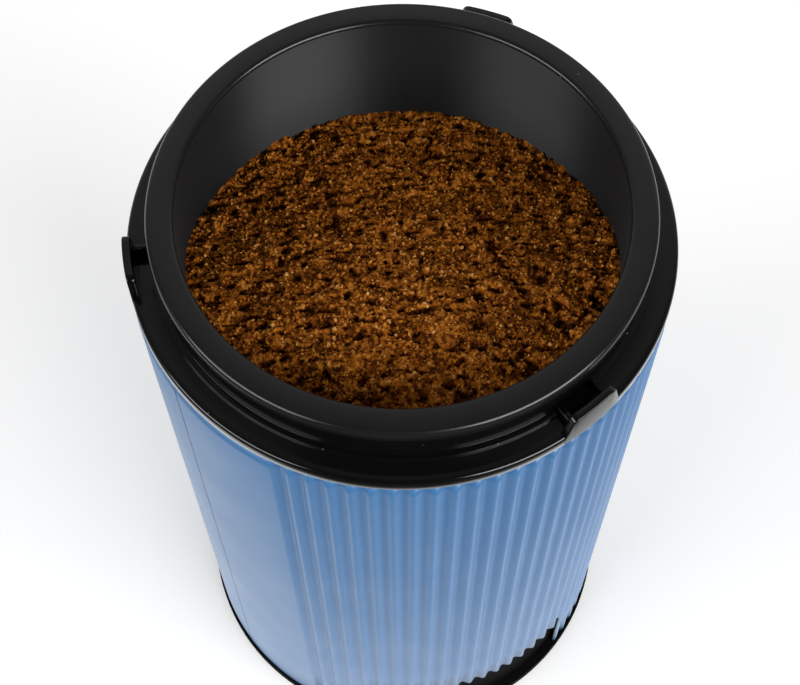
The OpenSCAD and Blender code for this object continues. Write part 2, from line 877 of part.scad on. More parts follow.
module circuit_board() {
    color("#1f5b3a")
    on_board()
        difference() {
            translate([0, -board_w / 2, -board_h / 2]) cube([board_t, board_w, board_h]);
            for (side = [-1, 1])
                translate([-1, 0, side * board_screw_dz / 2])
                    rotate([0, 90, 0]) cylinder(r = board_screw_r + 0.1, h = board_t + 2, $fn = 24);
        }
}

module board_parts() {
    color("#b08a2e")
    on_board() {
        translate([-cap_t, part_edge - board_w / 2, cap_z]) cube([cap_t, cap_w, cap_h]);
        translate([-choke_t, board_w / 2 - part_edge - choke_w, choke_z]) cube([choke_t, choke_w, choke_h]);
        for (i = [0 : 2])
            translate([0, part_edge + drop_r - board_w / 2 + i * drop_pitch, drop_z])
                rotate([0, -90, 0]) cylinder(r = drop_r, h = drop_l, $fn = 32);
    }
}

module board_screws() {
    color(steel)
    on_board()
        for (side = [-1, 1])
            translate([-board_head_h, 0, side * board_screw_dz / 2])
                rotate([0, 90, 0])
                    screw(board_screw_r, board_head_h + board_t + board_grip, board_head_r, board_head_h);
}

module on_switch() {
    rotate([0, 0, lug_az]) translate([switch_mid, 0, switch_top]) children();
}

module microswitch() {
    color(plastic_dark)
    on_switch() {
        difference() {
            translate([-switch_d / 2, -switch_w / 2, -switch_h]) cube([switch_d, switch_w, switch_h]);
            for (side = [-1, 1])
                translate([-switch_d, side * switch_w / 4, -switch_h / 2])
                    rotate([0, 90, 0]) cylinder(r = switch_screw_r + 0.15, h = 2 * switch_d, $fn = 24);
            cube([switch_button_w + 2 * running, switch_button_w + 2 * running, 6], center = true);
        }
        for (dy = [-0.35, 0, 0.35])
            translate([-tag_w / 2, dy * switch_w - tag_t / 2, -switch_h - tag_l])
                cube([tag_w, tag_t, tag_l + eps]);
    }
}

module switch_screws() {
    color(steel)
    on_switch()
        for (side = [-1, 1])
            translate([-switch_d / 2 - switch_head_h, side * switch_w / 4, -switch_h / 2])
                rotate([0, 90, 0])
                    screw(switch_screw_r, switch_head_h + switch_d + switch_grip,
                          switch_head_r, switch_head_h);
}

module switch_button() {
    color("#c9c2b4")
    on_switch()
        translate([-switch_button_w / 2, -switch_button_w / 2, -0.5])
            cube([switch_button_w, switch_button_w, button_h + 0.5]);
}

module interlock_rod() {
    color("#d8d4ca")
    rotate([0, 0, lug_az]) {
        translate([rod_pos, 0, foot_z]) cylinder(r = rod_r, h = rod_top - foot_z, $fn = 40);
        translate([switch_mid - 1.5, -rod_foot_w / 2, foot_z])
            cube([rod_pos - switch_mid + 1.5, rod_foot_w, rod_foot_h]);
    }
}

module interlock_spring() {
    color(steel)
    rotate([0, 0, lug_az])
        translate([rod_pos, 0, foot_z - spring_l])
            spring(spring_r, spring_wire_r, spring_l, 8);
}

// ---- rotor ----

shaft_z = fan_z - 1.5;
shaft_top = dog_z + 0.5;

module motor_shaft() {
    color(steel)
    translate([0, 0, shaft_z]) cylinder(r = shaft_r, h = shaft_top - shaft_z, $fn = 64);
}

module armature_core() {
    color("#7d8186")
    translate([0, 0, stack_z])
        linear_extrude(stack_h, convexity = 6)
            difference() {
                circle(r = core_r);
                circle(r = shaft_r, $fn = 64);
                around(slot_count) {
                    translate([core_r - slot_inset, 0]) circle(r = slot_r, $fn = 24);
                    translate([core_r - slot_inset, -slot_mouth / 2]) square([slot_inset + 1, slot_mouth]);
                }
            }
}

module armature_windings() {
    end_h = overhang - 1;
    color(copper) {
        for (z = [stack_z - end_h, stack_top])
            translate([0, 0, z])
                rotate_extrude()
                    translate([(core_r + shaft_r) / 2 - 0.4, end_h / 2])
                        round_rect(winding_w, end_h, winding_round);
        around(slot_count)
            translate([core_r - slot_inset, 0, stack_z - 1])
                cylinder(r = slot_r - 0.1, h = stack_h + 2, $fn = 24);
    }
}

module commutator() {
    color(copper)
    translate([0, 0, commutator_z])
        difference() {
            cylinder(r = commutator_r, h = commutator_l);
            translate([0, 0, -1]) cylinder(r = shaft_r, h = commutator_l + 2, $fn = 64);
            around(bar_count) translate([commutator_r - 0.8, -0.25, -1]) cube([2, 0.5, commutator_l + 2]);
        }
}

module cooling_fan() {
    disc_t = 1.2;
    hub_r = 7;
    arc_r = 18;
    blade_wall = 1.1;
    color("#e4e2dc")
    translate([0, 0, fan_z])
        difference() {
            union() {
                translate([0, 0, fan_h - disc_t]) cylinder(r = fan_r, h = disc_t);
                cylinder(r = hub_r, h = fan_h);
                linear_extrude(fan_h - disc_t / 2, convexity = 8)
                    intersection() {
                        difference() {
                            circle(r = fan_r - 0.5);
                            circle(r = hub_r + 4);
                        }
                        around(fan_blades)
                            translate([hub_r, -arc_r])
                                difference() {
                                    circle(r = arc_r);
                                    circle(r = arc_r - blade_wall);
                                    translate([-2 * arc_r, -arc_r]) square([2 * arc_r, 2 * arc_r]);
                                    translate([0, -2 * arc_r]) square([2 * arc_r, 2 * arc_r]);
                                }
                    }
            }
            translate([0, 0, -1]) cylinder(r = shaft_r, h = fan_h + 2, $fn = 64);
        }
}

module dog_teeth(z) {
    around(3) translate([0, 0, z]) ring_slice(dog_r, dog_ri, dog_h, dog_angle);
}

module drive_coupler() {
    color("#3a3c41")
    difference() {
        union() {
            translate([0, 0, drive_z]) cylinder(r = dog_r + 0.5, h = drive_t);
            dog_teeth(dog_z - eps);
        }
        translate([0, 0, drive_z - 1]) cylinder(r = shaft_r, h = drive_t + 3, $fn = 64);
    }
}

// ---- cup and blade ----

module cup_hollow() {
    arc = [for (a = [-90 : 10 : 0])
        [cup_low_in - cup_fillet + cup_fillet * cos(a), cup_floor + cup_fillet * (1 + sin(a))]];
    mouth = [for (a = [180 : -15 : 90])
        [cup_in + mouth_round * (1 + cos(a)), cup_top - mouth_round * (1 - sin(a))]];
    polygon(concat([[0, cup_floor]], arc, mouth,
                   [[cup_in + mouth_round, cup_top + eps], [0, cup_top + eps]]));
}

module cup_profile() {
    difference() {
        union() {
            polygon([[0, cup_under], [cup_low_r, cup_under], [cup_r, rim_z], [cup_r, cup_top], [0, cup_top]]);
            translate([0, rim_z]) square([rim_r, rim_t - rim_round]);
            translate([rim_r - rim_round, cup_top - rim_round]) circle(r = rim_round, $fn = 32);
            translate([0, rim_z]) square([rim_r - rim_round, rim_t]);
        }
        cup_hollow();
    }
    translate([0, cup_under - boss_low]) square([boss_r, boss_low + eps]);
    polygon([[0, cup_floor - eps], [boss_r + boss_flare, cup_floor - eps],
             [boss_r, cup_floor + boss_h], [0, cup_floor + boss_h]]);
    translate([cup_low_r - skirt_t, skirt_z]) square([skirt_t, skirt_h + eps]);
}

module grinding_cup() {
    color(plastic_black)
    difference() {
        rotate_extrude($fn = fine) cup_profile();
        translate([0, 0, cup_under - boss_low - 1])
            cylinder(r = bush_r, h = cup_floor_t + boss_low + boss_h + 2);
        around(key_count, key_az)
            translate([0, -key_w / 2 - key_gap, skirt_z - 1])
                cube([cup_r + 2, key_w + 2 * key_gap, key_h + key_gap + 1]);
    }
}

module cup_bearing() {
    color(bronze)
    translate([0, 0, cup_under - boss_low])
        ring(bush_r, spindle_r + running, cup_floor_t + boss_low + boss_h - seal_t);
}

module cup_seal() {
    color(rubber_black)
    translate([0, 0, cup_floor + boss_h - seal_t]) ring(bush_r, spindle_r + 0.1, seal_t);
}

// The wing seen from the side: a flat strip with its tip bent up
module wing_side() {
    bend_x = blade_reach - tip_l * cos(tip_bend);
    inset = blade_t * tan(tip_bend / 2);
    translate([0, blade_w, 0])
        rotate([90, 0, 0])
            linear_extrude(2 * blade_w)
                polygon([[wing_root, 0], [bend_x, 0], [blade_reach, tip_l * sin(tip_bend)],
                         [blade_reach - blade_t * sin(tip_bend),
                          tip_l * sin(tip_bend) + blade_t * cos(tip_bend)],
                         [bend_x - inset, blade_t], [wing_root, blade_t]]);
}

// The wing seen from above: the trailing edge is straight, the leading edge narrows to the tip
module wing_plan() {
    tip_r = 2.5;
    low = -blade_w / 2;
    high = blade_w / 2 - wing_taper;
    polygon([[0, low], [blade_reach - tip_r, low], [blade_reach, low + tip_r], [blade_reach, high - tip_r],
             [blade_reach - tip_r, high], [blade_reach / 2, blade_w / 2], [0, blade_w / 2]]);
    for (y = [low + tip_r, high - tip_r]) translate([blade_reach - tip_r, y]) circle(r = tip_r, $fn = 32);
}

// One sharpened wing, along +X from the hub
module blade_wing() {
    rotate([-blade_pitch, 0, 0])
        difference() {
            intersection() {
                wing_side();
                translate([0, 0, -blade_w]) linear_extrude(3 * blade_w) wing_plan();
            }
            translate([wing_root + 2.5, blade_w / 2 - bevel_w, 0])
                rotate([atan2(blade_t, bevel_w), 0, 0])
                    translate([0, 0, -blade_w]) cube([blade_reach, blade_w, blade_w]);
        }
}

module blade() {
    color(steel)
    translate([0, 0, blade_z])
        difference() {
            union() {
                cylinder(r = hub_r, h = blade_t);
                for (side = [0, 180]) rotate([0, 0, side]) blade_wing();
            }
            translate([0, 0, -5]) cylinder(r = spindle_r, h = 10, $fn = 64);
        }
}

module blade_spindle() {
    shoulder_r = 4.4;
    color(steel) {
        translate([0, 0, driven_z]) cylinder(r = spindle_r, h = spindle_top - driven_z, $fn = 64);
        translate([0, 0, cup_floor + boss_h + seat])
            cylinder(r = shoulder_r, h = blade_z - cup_floor - boss_h - seat);
    }
}

module blade_nut() {
    color(steel)
    translate([0, 0, blade_z + blade_t])
        difference() {
            union() {
                cylinder(r = washer_r, h = washer_t);
                intersection() {
                    cylinder(r = nut_r, h = washer_t + nut_h, $fn = 6);
                    translate([0, 0, washer_t + nut_h - 8]) sphere(r = 8.2);
                }
            }
            translate([0, 0, -1]) cylinder(r = spindle_r, h = spindle_top - blade_z - blade_t + 1, $fn = 64);
        }
}

module driven_coupler() {
    color("#3a3c41")
    difference() {
        union() {
            translate([0, 0, driven_z]) cylinder(r = dog_r + 0.5, h = driven_t);
            rotate([0, 0, 60]) dog_teeth(driven_z - dog_h + eps);
        }
        translate([0, 0, driven_z - 1]) cylinder(r = spindle_r, h = driven_t + 2, $fn = 64);
    }
}

outer_sleeve();
collar();
inner_housing();
motor_frame();
base_ring();
bottom_cover();
rubber_feet();
cover_screws();
cord_grommet();
shaft_seal();
motor_dampers();
mount_screws();
upper_bracket();
upper_bearing();
stator_core();
field_coils();
stator_screws();
lower_bracket();
lower_bearing();
brush_holders();
carbon_brushes();
brush_springs();
circuit_board();
board_parts();
board_screws();
microswitch();
switch_screws();
interlock_spring();
interlock_rod();
switch_button();
motor_shaft();
armature_core();
armature_windings();
commutator();
cooling_fan();
drive_coupler();
grinding_cup();
cup_bearing();
cup_seal();
blade();
blade_spindle();
blade_nut();
driven_coupler();
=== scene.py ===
import json
import math
import random

import bmesh
import bpy
from mathutils import Euler, Matrix, Vector, noise


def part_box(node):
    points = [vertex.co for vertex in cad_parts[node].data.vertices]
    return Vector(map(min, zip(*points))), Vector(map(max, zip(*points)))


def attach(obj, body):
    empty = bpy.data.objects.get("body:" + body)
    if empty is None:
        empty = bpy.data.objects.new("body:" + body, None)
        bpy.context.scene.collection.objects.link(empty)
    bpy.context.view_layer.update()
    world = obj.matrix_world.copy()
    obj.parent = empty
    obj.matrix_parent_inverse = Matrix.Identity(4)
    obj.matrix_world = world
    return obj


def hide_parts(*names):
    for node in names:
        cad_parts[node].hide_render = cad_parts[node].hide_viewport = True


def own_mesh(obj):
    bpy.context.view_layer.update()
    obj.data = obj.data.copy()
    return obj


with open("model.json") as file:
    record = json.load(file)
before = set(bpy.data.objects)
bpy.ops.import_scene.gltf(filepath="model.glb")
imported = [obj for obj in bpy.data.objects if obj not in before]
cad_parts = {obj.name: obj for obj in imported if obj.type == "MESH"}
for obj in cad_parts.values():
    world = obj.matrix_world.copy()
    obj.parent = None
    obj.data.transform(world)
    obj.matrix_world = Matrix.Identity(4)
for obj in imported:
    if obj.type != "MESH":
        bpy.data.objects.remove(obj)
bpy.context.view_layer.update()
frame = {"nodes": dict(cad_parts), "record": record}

scene = bpy.context.scene
mm = 0.001
near = 0.01  # millimetres; heights and radii closer than this count as the same
print("grinder: packed part loaded,", len(frame["nodes"]), "nodes")


cameraSet = {"place": (-0.000518, -0.133197, 0.348658), "tilt": 28.3168, "roll": -0.4367,
             "lens": 66.23, "sensor": 36, "clipStart": 0.01}

lensData = bpy.data.cameras.new("studioCamera")
lensData.lens = cameraSet["lens"]
lensData.sensor_width = cameraSet["sensor"]
lensData.clip_start = cameraSet["clipStart"]
camera = bpy.data.objects.new("studioCamera", lensData)
camera.matrix_world = (Matrix.Translation(cameraSet["place"])
                       @ Matrix.Rotation(math.radians(cameraSet["tilt"]), 4, "X")
                       @ Matrix.Rotation(math.radians(cameraSet["roll"]), 4, "Z"))
scene.collection.objects.link(camera)
scene.camera = camera
scene.view_settings.view_transform = "Standard"


softBoxes = [  # name, direction, elevation, distance, width, height, watts
    ("leftBox", 212, 27, 0.95, 0.77, 0.44, 6.4),
    ("rightBox", 315, 25, 0.95, 0.77, 0.44, 10.4),
]
aimHeight = 0.12  # both boxes point at the axis of the grinder here
airSteps = [(0.30, 0.02), (0.55, 0.10), (0.68, 0.16), (0.76, 0.36), (0.84, 0.60), (1.0, 0.35)]


def makeSoftBox(name, azimuth, elevation, distance, width, height, watts):
    lamp = bpy.data.lights.new(name, "AREA")
    lamp.shape = "RECTANGLE"
    lamp.size, lamp.size_y = width, height
    lamp.energy = watts
    flat = distance * math.cos(math.radians(elevation))
    place = Vector((flat * math.cos(math.radians(azimuth)), flat * math.sin(math.radians(azimuth)),
                    aimHeight + distance * math.sin(math.radians(elevation))))
    aim = (Vector((0, 0, aimHeight)) - place).to_track_quat("-Z", "Y").to_matrix().to_4x4()
    box = bpy.data.objects.new(name, lamp)
    box.matrix_world = Matrix.Translation(place) @ aim
    scene.collection.objects.link(box)


class Graph:
    # a short way to place and join nodes in one tree
    def __init__(self, tree):
        self.tree = tree

    def feed(self, target, source):
        # a socket is linked to the target, anything else becomes its value
        if isinstance(source, bpy.types.NodeSocket):
            self.tree.links.new(source, target)
        else:
            target.default_value = source

    def node(self, kind, inputs=None, **settings):
        made = self.tree.nodes.new(kind)
        for key, value in settings.items():
            setattr(made, key, value)
        for name, source in (inputs or {}).items():
            self.feed(made.inputs[name], source)
        return made

    def place(self):
        return self.node("ShaderNodeTexCoord").outputs["Object"]

    def axes(self, place):
        return self.node("ShaderNodeSeparateXYZ", {"Vector": place}).outputs

    def cloud(self, place, scale, detail, roughness):
        sockets = {"Vector": place, "Scale": scale, "Detail": detail, "Roughness": roughness}
        return self.node("ShaderNodeTexNoise", sockets).outputs["Fac"]

    def cells(self, place, scale):
        return self.node("ShaderNodeTexVoronoi", {"Vector": place, "Scale": scale}, feature="F1").outputs

    def channels(self, colour):
        return self.node("ShaderNodeSeparateColor", {"Color": colour}).outputs

    def calc(self, operation, *sources):
        return self.node("ShaderNodeMath", dict(enumerate(sources)), operation=operation).outputs[0]

    def spread(self, source, fromLow, fromHigh, toLow=0.0, toHigh=1.0):
        sockets = {"Value": source, "From Min": fromLow, "From Max": fromHigh, "To Min": toLow, "To Max": toHigh}
        return self.node("ShaderNodeMapRange", sockets).outputs["Result"]

    def mix(self, mask, low, high):
        sockets = {"Factor": mask, "A": low, "B": high}
        return self.node("ShaderNodeMix", sockets, data_type="RGBA").outputs["Result"]

    def bump(self, height, strength, reach):
        sockets = {"Height": height, "Strength": strength, "Distance": reach}
        return self.node("ShaderNodeBump", sockets).outputs["Normal"]

    def ramp(self, source, tones):
        made = self.node("ShaderNodeValToRGB", {"Fac": source})
        stops = made.color_ramp.elements
        for i, (spot, colour) in enumerate(tones):
            stop = stops[i] if i < 2 else stops.new(spot)
            stop.position = spot
            stop.color = (*colour, 1)
        return made.outputs["Color"]


def makeAir():
    # the room: dim behind the camera, brighter towards the backdrop
    world = bpy.data.worlds.new("studioAir")
    scene.world = world
    world.use_nodes = True
    graph = Graph(world.node_tree)
    ahead = graph.axes(graph.node("ShaderNodeTexCoord").outputs["Generated"])["Y"]
    level = graph.ramp(graph.spread(ahead, -1.0, 1.0), [(spot, (grey, grey, grey)) for spot, grey in airSteps])
    graph.feed(world.node_tree.nodes["Background"].inputs["Color"], level)


for softBox in softBoxes:
    makeSoftBox(*softBox)
makeAir()
print("grinder: camera and lamps set")


vectorSockets = ("Stretch", "Normal")  # every other socket of a group is a number


def newGroup(name, inputs, outputs):
    tree = bpy.data.node_groups.new(name, "ShaderNodeTree")
    for side, labels in (("INPUT", inputs), ("OUTPUT", outputs)):
        for label in labels:
            kind = "NodeSocketVector" if label in vectorSockets else "NodeSocketFloat"
            tree.interface.new_socket(label, in_out=side, socket_type=kind)
    graph = Graph(tree)
    return tree, graph, graph.node("NodeGroupInput").outputs, graph.node("NodeGroupOutput").inputs


skin = {"cloudScale": 85.0, "cloudDetail": 4.0, "cloudRough": 0.6, "cloudLow": 0.35, "cloudHigh": 0.65,
        "grainDetail": 2.0, "grainRough": 0.5, "bumpReach": 0.0002}


def makeMouldedSkin():
    # cloudy roughness and a fine orange-peel bump for moulded plastic and paint
    tree, graph, given, result = newGroup("mouldedSkin", ("Scale", "Rough Low", "Rough High", "Bump"),
                                          ("Roughness", "Normal", "Cloud"))
    place = graph.place()
    cloud = graph.cloud(place, skin["cloudScale"], skin["cloudDetail"], skin["cloudRough"])
    grain = graph.cloud(place, given["Scale"], skin["grainDetail"], skin["grainRough"])
    rough = graph.spread(cloud, skin["cloudLow"], skin["cloudHigh"], given["Rough Low"], given["Rough High"])
    graph.feed(result["Roughness"], rough)
    graph.feed(result["Normal"], graph.bump(grain, given["Bump"], skin["bumpReach"]))
    graph.feed(result["Cloud"], cloud)
    return tree


rareAbove = 0.72  # of the cells, only those with a higher random value hold a speck


def makeDustSpecks():
    # sparse pale specks that settle on dark gloss
    tree, graph, given, result = newGroup("dustSpecks", ("Scale", "Amount"), ("Mask",))
    cells = graph.cells(graph.place(), given["Scale"])
    small = graph.calc("LESS_THAN", cells["Distance"], given["Amount"])
    rare = graph.calc("GREATER_THAN", graph.channels(cells["Color"])["Red"], rareAbove)
    graph.feed(result["Mask"], graph.calc("MULTIPLY", small, rare))
    return tree


brushed = {"detail": 3.0, "rough": 0.65, "low": 0.3, "high": 0.7, "bumpReach": 0.0001}


def makeBrushedLines():
    # turning or grinding marks: noise stretched along one axis
    tree, graph, given, result = newGroup("brushedLines", ("Stretch", "Rough Low", "Rough High", "Bump"),
                                          ("Roughness", "Normal", "Lines"))
    scaled = graph.node("ShaderNodeVectorMath", {0: graph.place(), 1: given["Stretch"]}, operation="MULTIPLY")
    lines = graph.cloud(scaled.outputs["Vector"], 1.0, brushed["detail"], brushed["rough"])
    rough = graph.spread(lines, brushed["low"], brushed["high"], given["Rough Low"], given["Rough High"])
    graph.feed(result["Roughness"], rough)
    graph.feed(result["Normal"], graph.bump(lines, given["Bump"], brushed["bumpReach"]))
    graph.feed(result["Lines"], lines)
    return tree


mouldedSkin = makeMouldedSkin()
dustSpecks = makeDustSpecks()
brushedLines = makeBrushedLines()
plainDust = {"scale": 330.0, "tone": (0.11, 0.11, 0.11)}
paintDust = {"scale": 300.0, "tone": (0.16, 0.26, 0.42)}


def startMaterial(name):
    material = bpy.data.materials.new(name)
    material.use_nodes = True
    return material, Graph(material.node_tree), material.node_tree.nodes["Principled BSDF"].inputs


def layGroup(graph, shader, tree, **sockets):
    # places a group, and lets it drive the shader's roughness and bump
    inputs = {key.replace("_", " "): value for key, value in sockets.items()}
    made = graph.tree.nodes.new("ShaderNodeGroup")
    made.node_tree = tree
    for name, value in inputs.items():
        made.inputs[name].default_value = value
    for name in ("Roughness", "Normal"):
        if name in made.outputs:
            graph.feed(shader[name], made.outputs[name])
    return made.outputs


def skinFinish(name, low, high, rough, scale, bump, specks=0.0, specular=0.5, dust=plainDust):
    material, graph, shader = startMaterial(name)
    cloud = layGroup(graph, shader, mouldedSkin, Scale=scale, Rough_Low=rough[0], Rough_High=rough[1],
                     Bump=bump)["Cloud"]
    tone = graph.mix(cloud, (*low, 1), (*high, 1))
    if specks:
        mask = layGroup(graph, shader, dustSpecks, Scale=dust["scale"], Amount=specks)["Mask"]
        tone = graph.mix(mask, tone, (*dust["tone"], 1))
    graph.feed(shader["Base Color"], tone)
    graph.feed(shader["Specular IOR Level"], specular)
    return material


def metalFinish(name, low, high, rough, stretch, bump):
    material, graph, shader = startMaterial(name)
    lines = layGroup(graph, shader, brushedLines, Stretch=stretch, Rough_Low=rough[0], Rough_High=rough[1],
                     Bump=bump)["Lines"]
    graph.feed(shader["Base Color"], graph.mix(lines, (*low, 1), (*high, 1)))
    graph.feed(shader["Metallic"], 1.0)
    return material


# the pale edge colour is bare metal and also a painted highlight
sheetEdge = {"bareAndHighlightFrom": 0.0346, "bareAndHighlightTo": 0.0350, "bareAndHighlightBelow": 0.03, "painted": (0.012, 0.045, 0.10),
             "bareAndHighlight": (0.62, 0.64, 0.66), "stretch": (900.0, 900.0, 900.0), "rough": (0.4, 0.5), "bump": 0.2,
             "specular": 0.2}


def sheetEdgeFinish():
    # the sheet's cut edges: painted over, pale only at the low end of the foot's opening, as bare metal and also a
    # painted highlight
    material, graph, shader = startMaterial("sheetEdge")
    layGroup(graph, shader, brushedLines, Stretch=sheetEdge["stretch"], Rough_Low=sheetEdge["rough"][0],
             Rough_High=sheetEdge["rough"][1], Bump=sheetEdge["bump"])
    axes = graph.axes(graph.place())
    end = graph.spread(axes["X"], sheetEdge["bareAndHighlightFrom"], sheetEdge["bareAndHighlightTo"])
    low = graph.calc("LESS_THAN", axes["Z"], sheetEdge["bareAndHighlightBelow"])
    # pale edge at the opening's low end: bare metal, standing in also as a painted highlight
    bareAndHighlight = graph.calc("MULTIPLY", end, low)
    graph.feed(shader["Base Color"], graph.mix(bareAndHighlight, (*sheetEdge["painted"], 1), (*sheetEdge["bareAndHighlight"], 1)))
    graph.feed(shader["Specular IOR Level"], sheetEdge["specular"])
    return material


scour = {"low": (0.0095, 0.0095, 0.010), "high": (0.011, 0.011, 0.0115), "rough": (0.55, 0.60),
         "scale": 1400.0, "bump": 0.02, "stretch": 0.95, "turn": 0.25}


def scouredFinish():
    # the cup's wall inside: the turning grounds leave fine level scratches, so lights smear upright
    material = skinFinish("scouredBlack", scour["low"], scour["high"], scour["rough"], scour["scale"], scour["bump"])
    shader = material.node_tree.nodes["Principled BSDF"].inputs
    shader["Anisotropic"].default_value = scour["stretch"]
    shader["Anisotropic Rotation"].default_value = scour["turn"]
    return material


coffeeLook = {"cellScale": 1900.0, "cellShare": 0.4, "patchScale": 480.0, "patchDetail": 5.0, "patchRough": 0.7,
              "patchShare": 0.6, "bump": 0.6, "bumpReach": 0.0003, "roughness": 0.75, "specular": 0.05,
              "tones": [(0.06, (0.018, 0.0042, 0.0008)), (0.28, (0.115, 0.028, 0.0028)),
                        (0.46, (0.345, 0.100, 0.0085)), (0.66, (0.560, 0.210, 0.025)), (0.95, (0.74, 0.41, 0.13))]}


def coffeeFinish():
    # every crumb has its own brown, from the mesh's own attribute, which holds a random tone and painted shade in
    # crevices and pits, cells and a fine noise
    material, graph, shader = startMaterial("groundCoffee")
    place = graph.place()
    cells = graph.cells(place, coffeeLook["cellScale"])
    patches = graph.cloud(place, coffeeLook["patchScale"], coffeeLook["patchDetail"], coffeeLook["patchRough"])
    own = graph.node("ShaderNodeAttribute", attribute_name="crumbToneAndShade").outputs["Fac"]
    tone = graph.calc("MULTIPLY_ADD", graph.channels(cells["Color"])["Green"], coffeeLook["cellShare"], own)
    tone = graph.calc("MULTIPLY_ADD", patches, coffeeLook["patchShare"], tone)
    graph.feed(shader["Base Color"], graph.ramp(tone, coffeeLook["tones"]))
    graph.feed(shader["Normal"], graph.bump(cells["Distance"], coffeeLook["bump"], coffeeLook["bumpReach"]))
    graph.feed(shader["Roughness"], coffeeLook["roughness"])
    graph.feed(shader["Specular IOR Level"], coffeeLook["specular"])
    return material


finishes = {
    "sleeve_paint": skinFinish(  # satin blue stove paint with a soft sheen
        "satinBluePaint", (0.026, 0.136, 0.325), (0.029, 0.147, 0.345),
        rough=(0.42, 0.46), scale=2600.0, bump=0.03, specks=0.05, specular=0.9, dust=paintDust),
    "gloss_black": skinFinish(
        "glossBlack", (0.0025, 0.0025, 0.0027), (0.0035, 0.0035, 0.0037),
        rough=(0.10, 0.15), scale=1400.0, bump=0.02, specks=0.045, specular=0.4),
    "satin_black": skinFinish(
        "satinBlack", (0.0075, 0.0075, 0.0078), (0.0095, 0.0095, 0.010),
        rough=(0.20, 0.26), scale=1400.0, bump=0.03, specks=0.04, specular=0.4),
    "foot_black": skinFinish(
        "mattBlack", (0.0040, 0.0040, 0.0042), (0.0055, 0.0055, 0.0058),
        rough=(0.55, 0.65), scale=1800.0, bump=0.06, specks=0.03, specular=0.005),
    "dark_plastic": skinFinish(
        "darkPlastic", (0.024, 0.024, 0.026), (0.036, 0.036, 0.038),
        rough=(0.42, 0.55), scale=1800.0, bump=0.25),
    "white_plastic": skinFinish(
        "naturalNylon", (0.70, 0.68, 0.63), (0.76, 0.74, 0.70),
        rough=(0.34, 0.44), scale=1200.0, bump=0.1),
    "rubber": skinFinish(
        "mattRubber", (0.014, 0.014, 0.014), (0.022, 0.022, 0.021),
        rough=(0.68, 0.82), scale=2200.0, bump=0.4),
    "steel": metalFinish(
        "groundSteel", (0.52, 0.52, 0.53), (0.66, 0.66, 0.67),
        rough=(0.20, 0.34), stretch=(300.0, 300.0, 5200.0), bump=0.15),
    "cast_metal": metalFinish(
        "dieCastMetal", (0.36, 0.37, 0.38), (0.46, 0.47, 0.48),
        rough=(0.42, 0.58), stretch=(1500.0, 1500.0, 1500.0), bump=0.4),
    "laminations": metalFinish(
        "stackedSteel", (0.09, 0.09, 0.10), (0.24, 0.24, 0.25),
        rough=(0.38, 0.52), stretch=(60.0, 60.0, 2600.0), bump=0.6),
    "bronze": metalFinish(
        "sinteredBronze", (0.42, 0.25, 0.09), (0.52, 0.34, 0.13),
        rough=(0.36, 0.5), stretch=(2400.0, 2400.0, 2400.0), bump=0.35),
    "copper": metalFinish(
        "enamelledCopper", (0.40, 0.15, 0.055), (0.62, 0.27, 0.11),
        rough=(0.26, 0.38), stretch=(400.0, 400.0, 3300.0), bump=0.8),
    "carbon": skinFinish(
        "pressedCarbon", (0.02, 0.02, 0.021), (0.04, 0.04, 0.042),
        rough=(0.5, 0.66), scale=2600.0, bump=0.3),
    "circuit": skinFinish(
        "solderMask", (0.012, 0.10, 0.045), (0.022, 0.14, 0.07),
        rough=(0.26, 0.36), scale=900.0, bump=0.08),
    "components": skinFinish(
        "componentCases", (0.36, 0.22, 0.03), (0.48, 0.33, 0.07),
        rough=(0.3, 0.42), scale=900.0, bump=0.1),
}
cutEdge = sheetEdgeFinish()
scouredBlack = scouredFinish()
groundCoffee = coffeeFinish()
print("grinder: finishes made")


# the gain values paint a brighter reflection of the floor round the foot; the dark tone ahead and its two Y limits
# paint a dark reflection of the floor in front
floor = {"radius": 2.6, "sides": 96, "colour": (0.75, 0.75, 0.75), "tint": (0.99, 1.01), "tintScale": 3.0,
         "tintDetail": 2.0, "tintRough": 0.5, "roughness": 0.6, "specular": 0.2, "paintedDarkAheadTone": (0.05, 0.05, 0.05),
         "glowNear": 0.345, "glowFar": 0.57, "glowFrom": 0.0, "glowTo": 0.18,
         "paintedReflectionGainNear": 2.7, "paintedReflectionGainFar": 0.9, "paintedReflectionGainFrom": 0.086, "paintedReflectionGainTo": 0.102, "paintedDarkAheadFrom": -0.056, "paintedDarkAheadTo": -0.098}


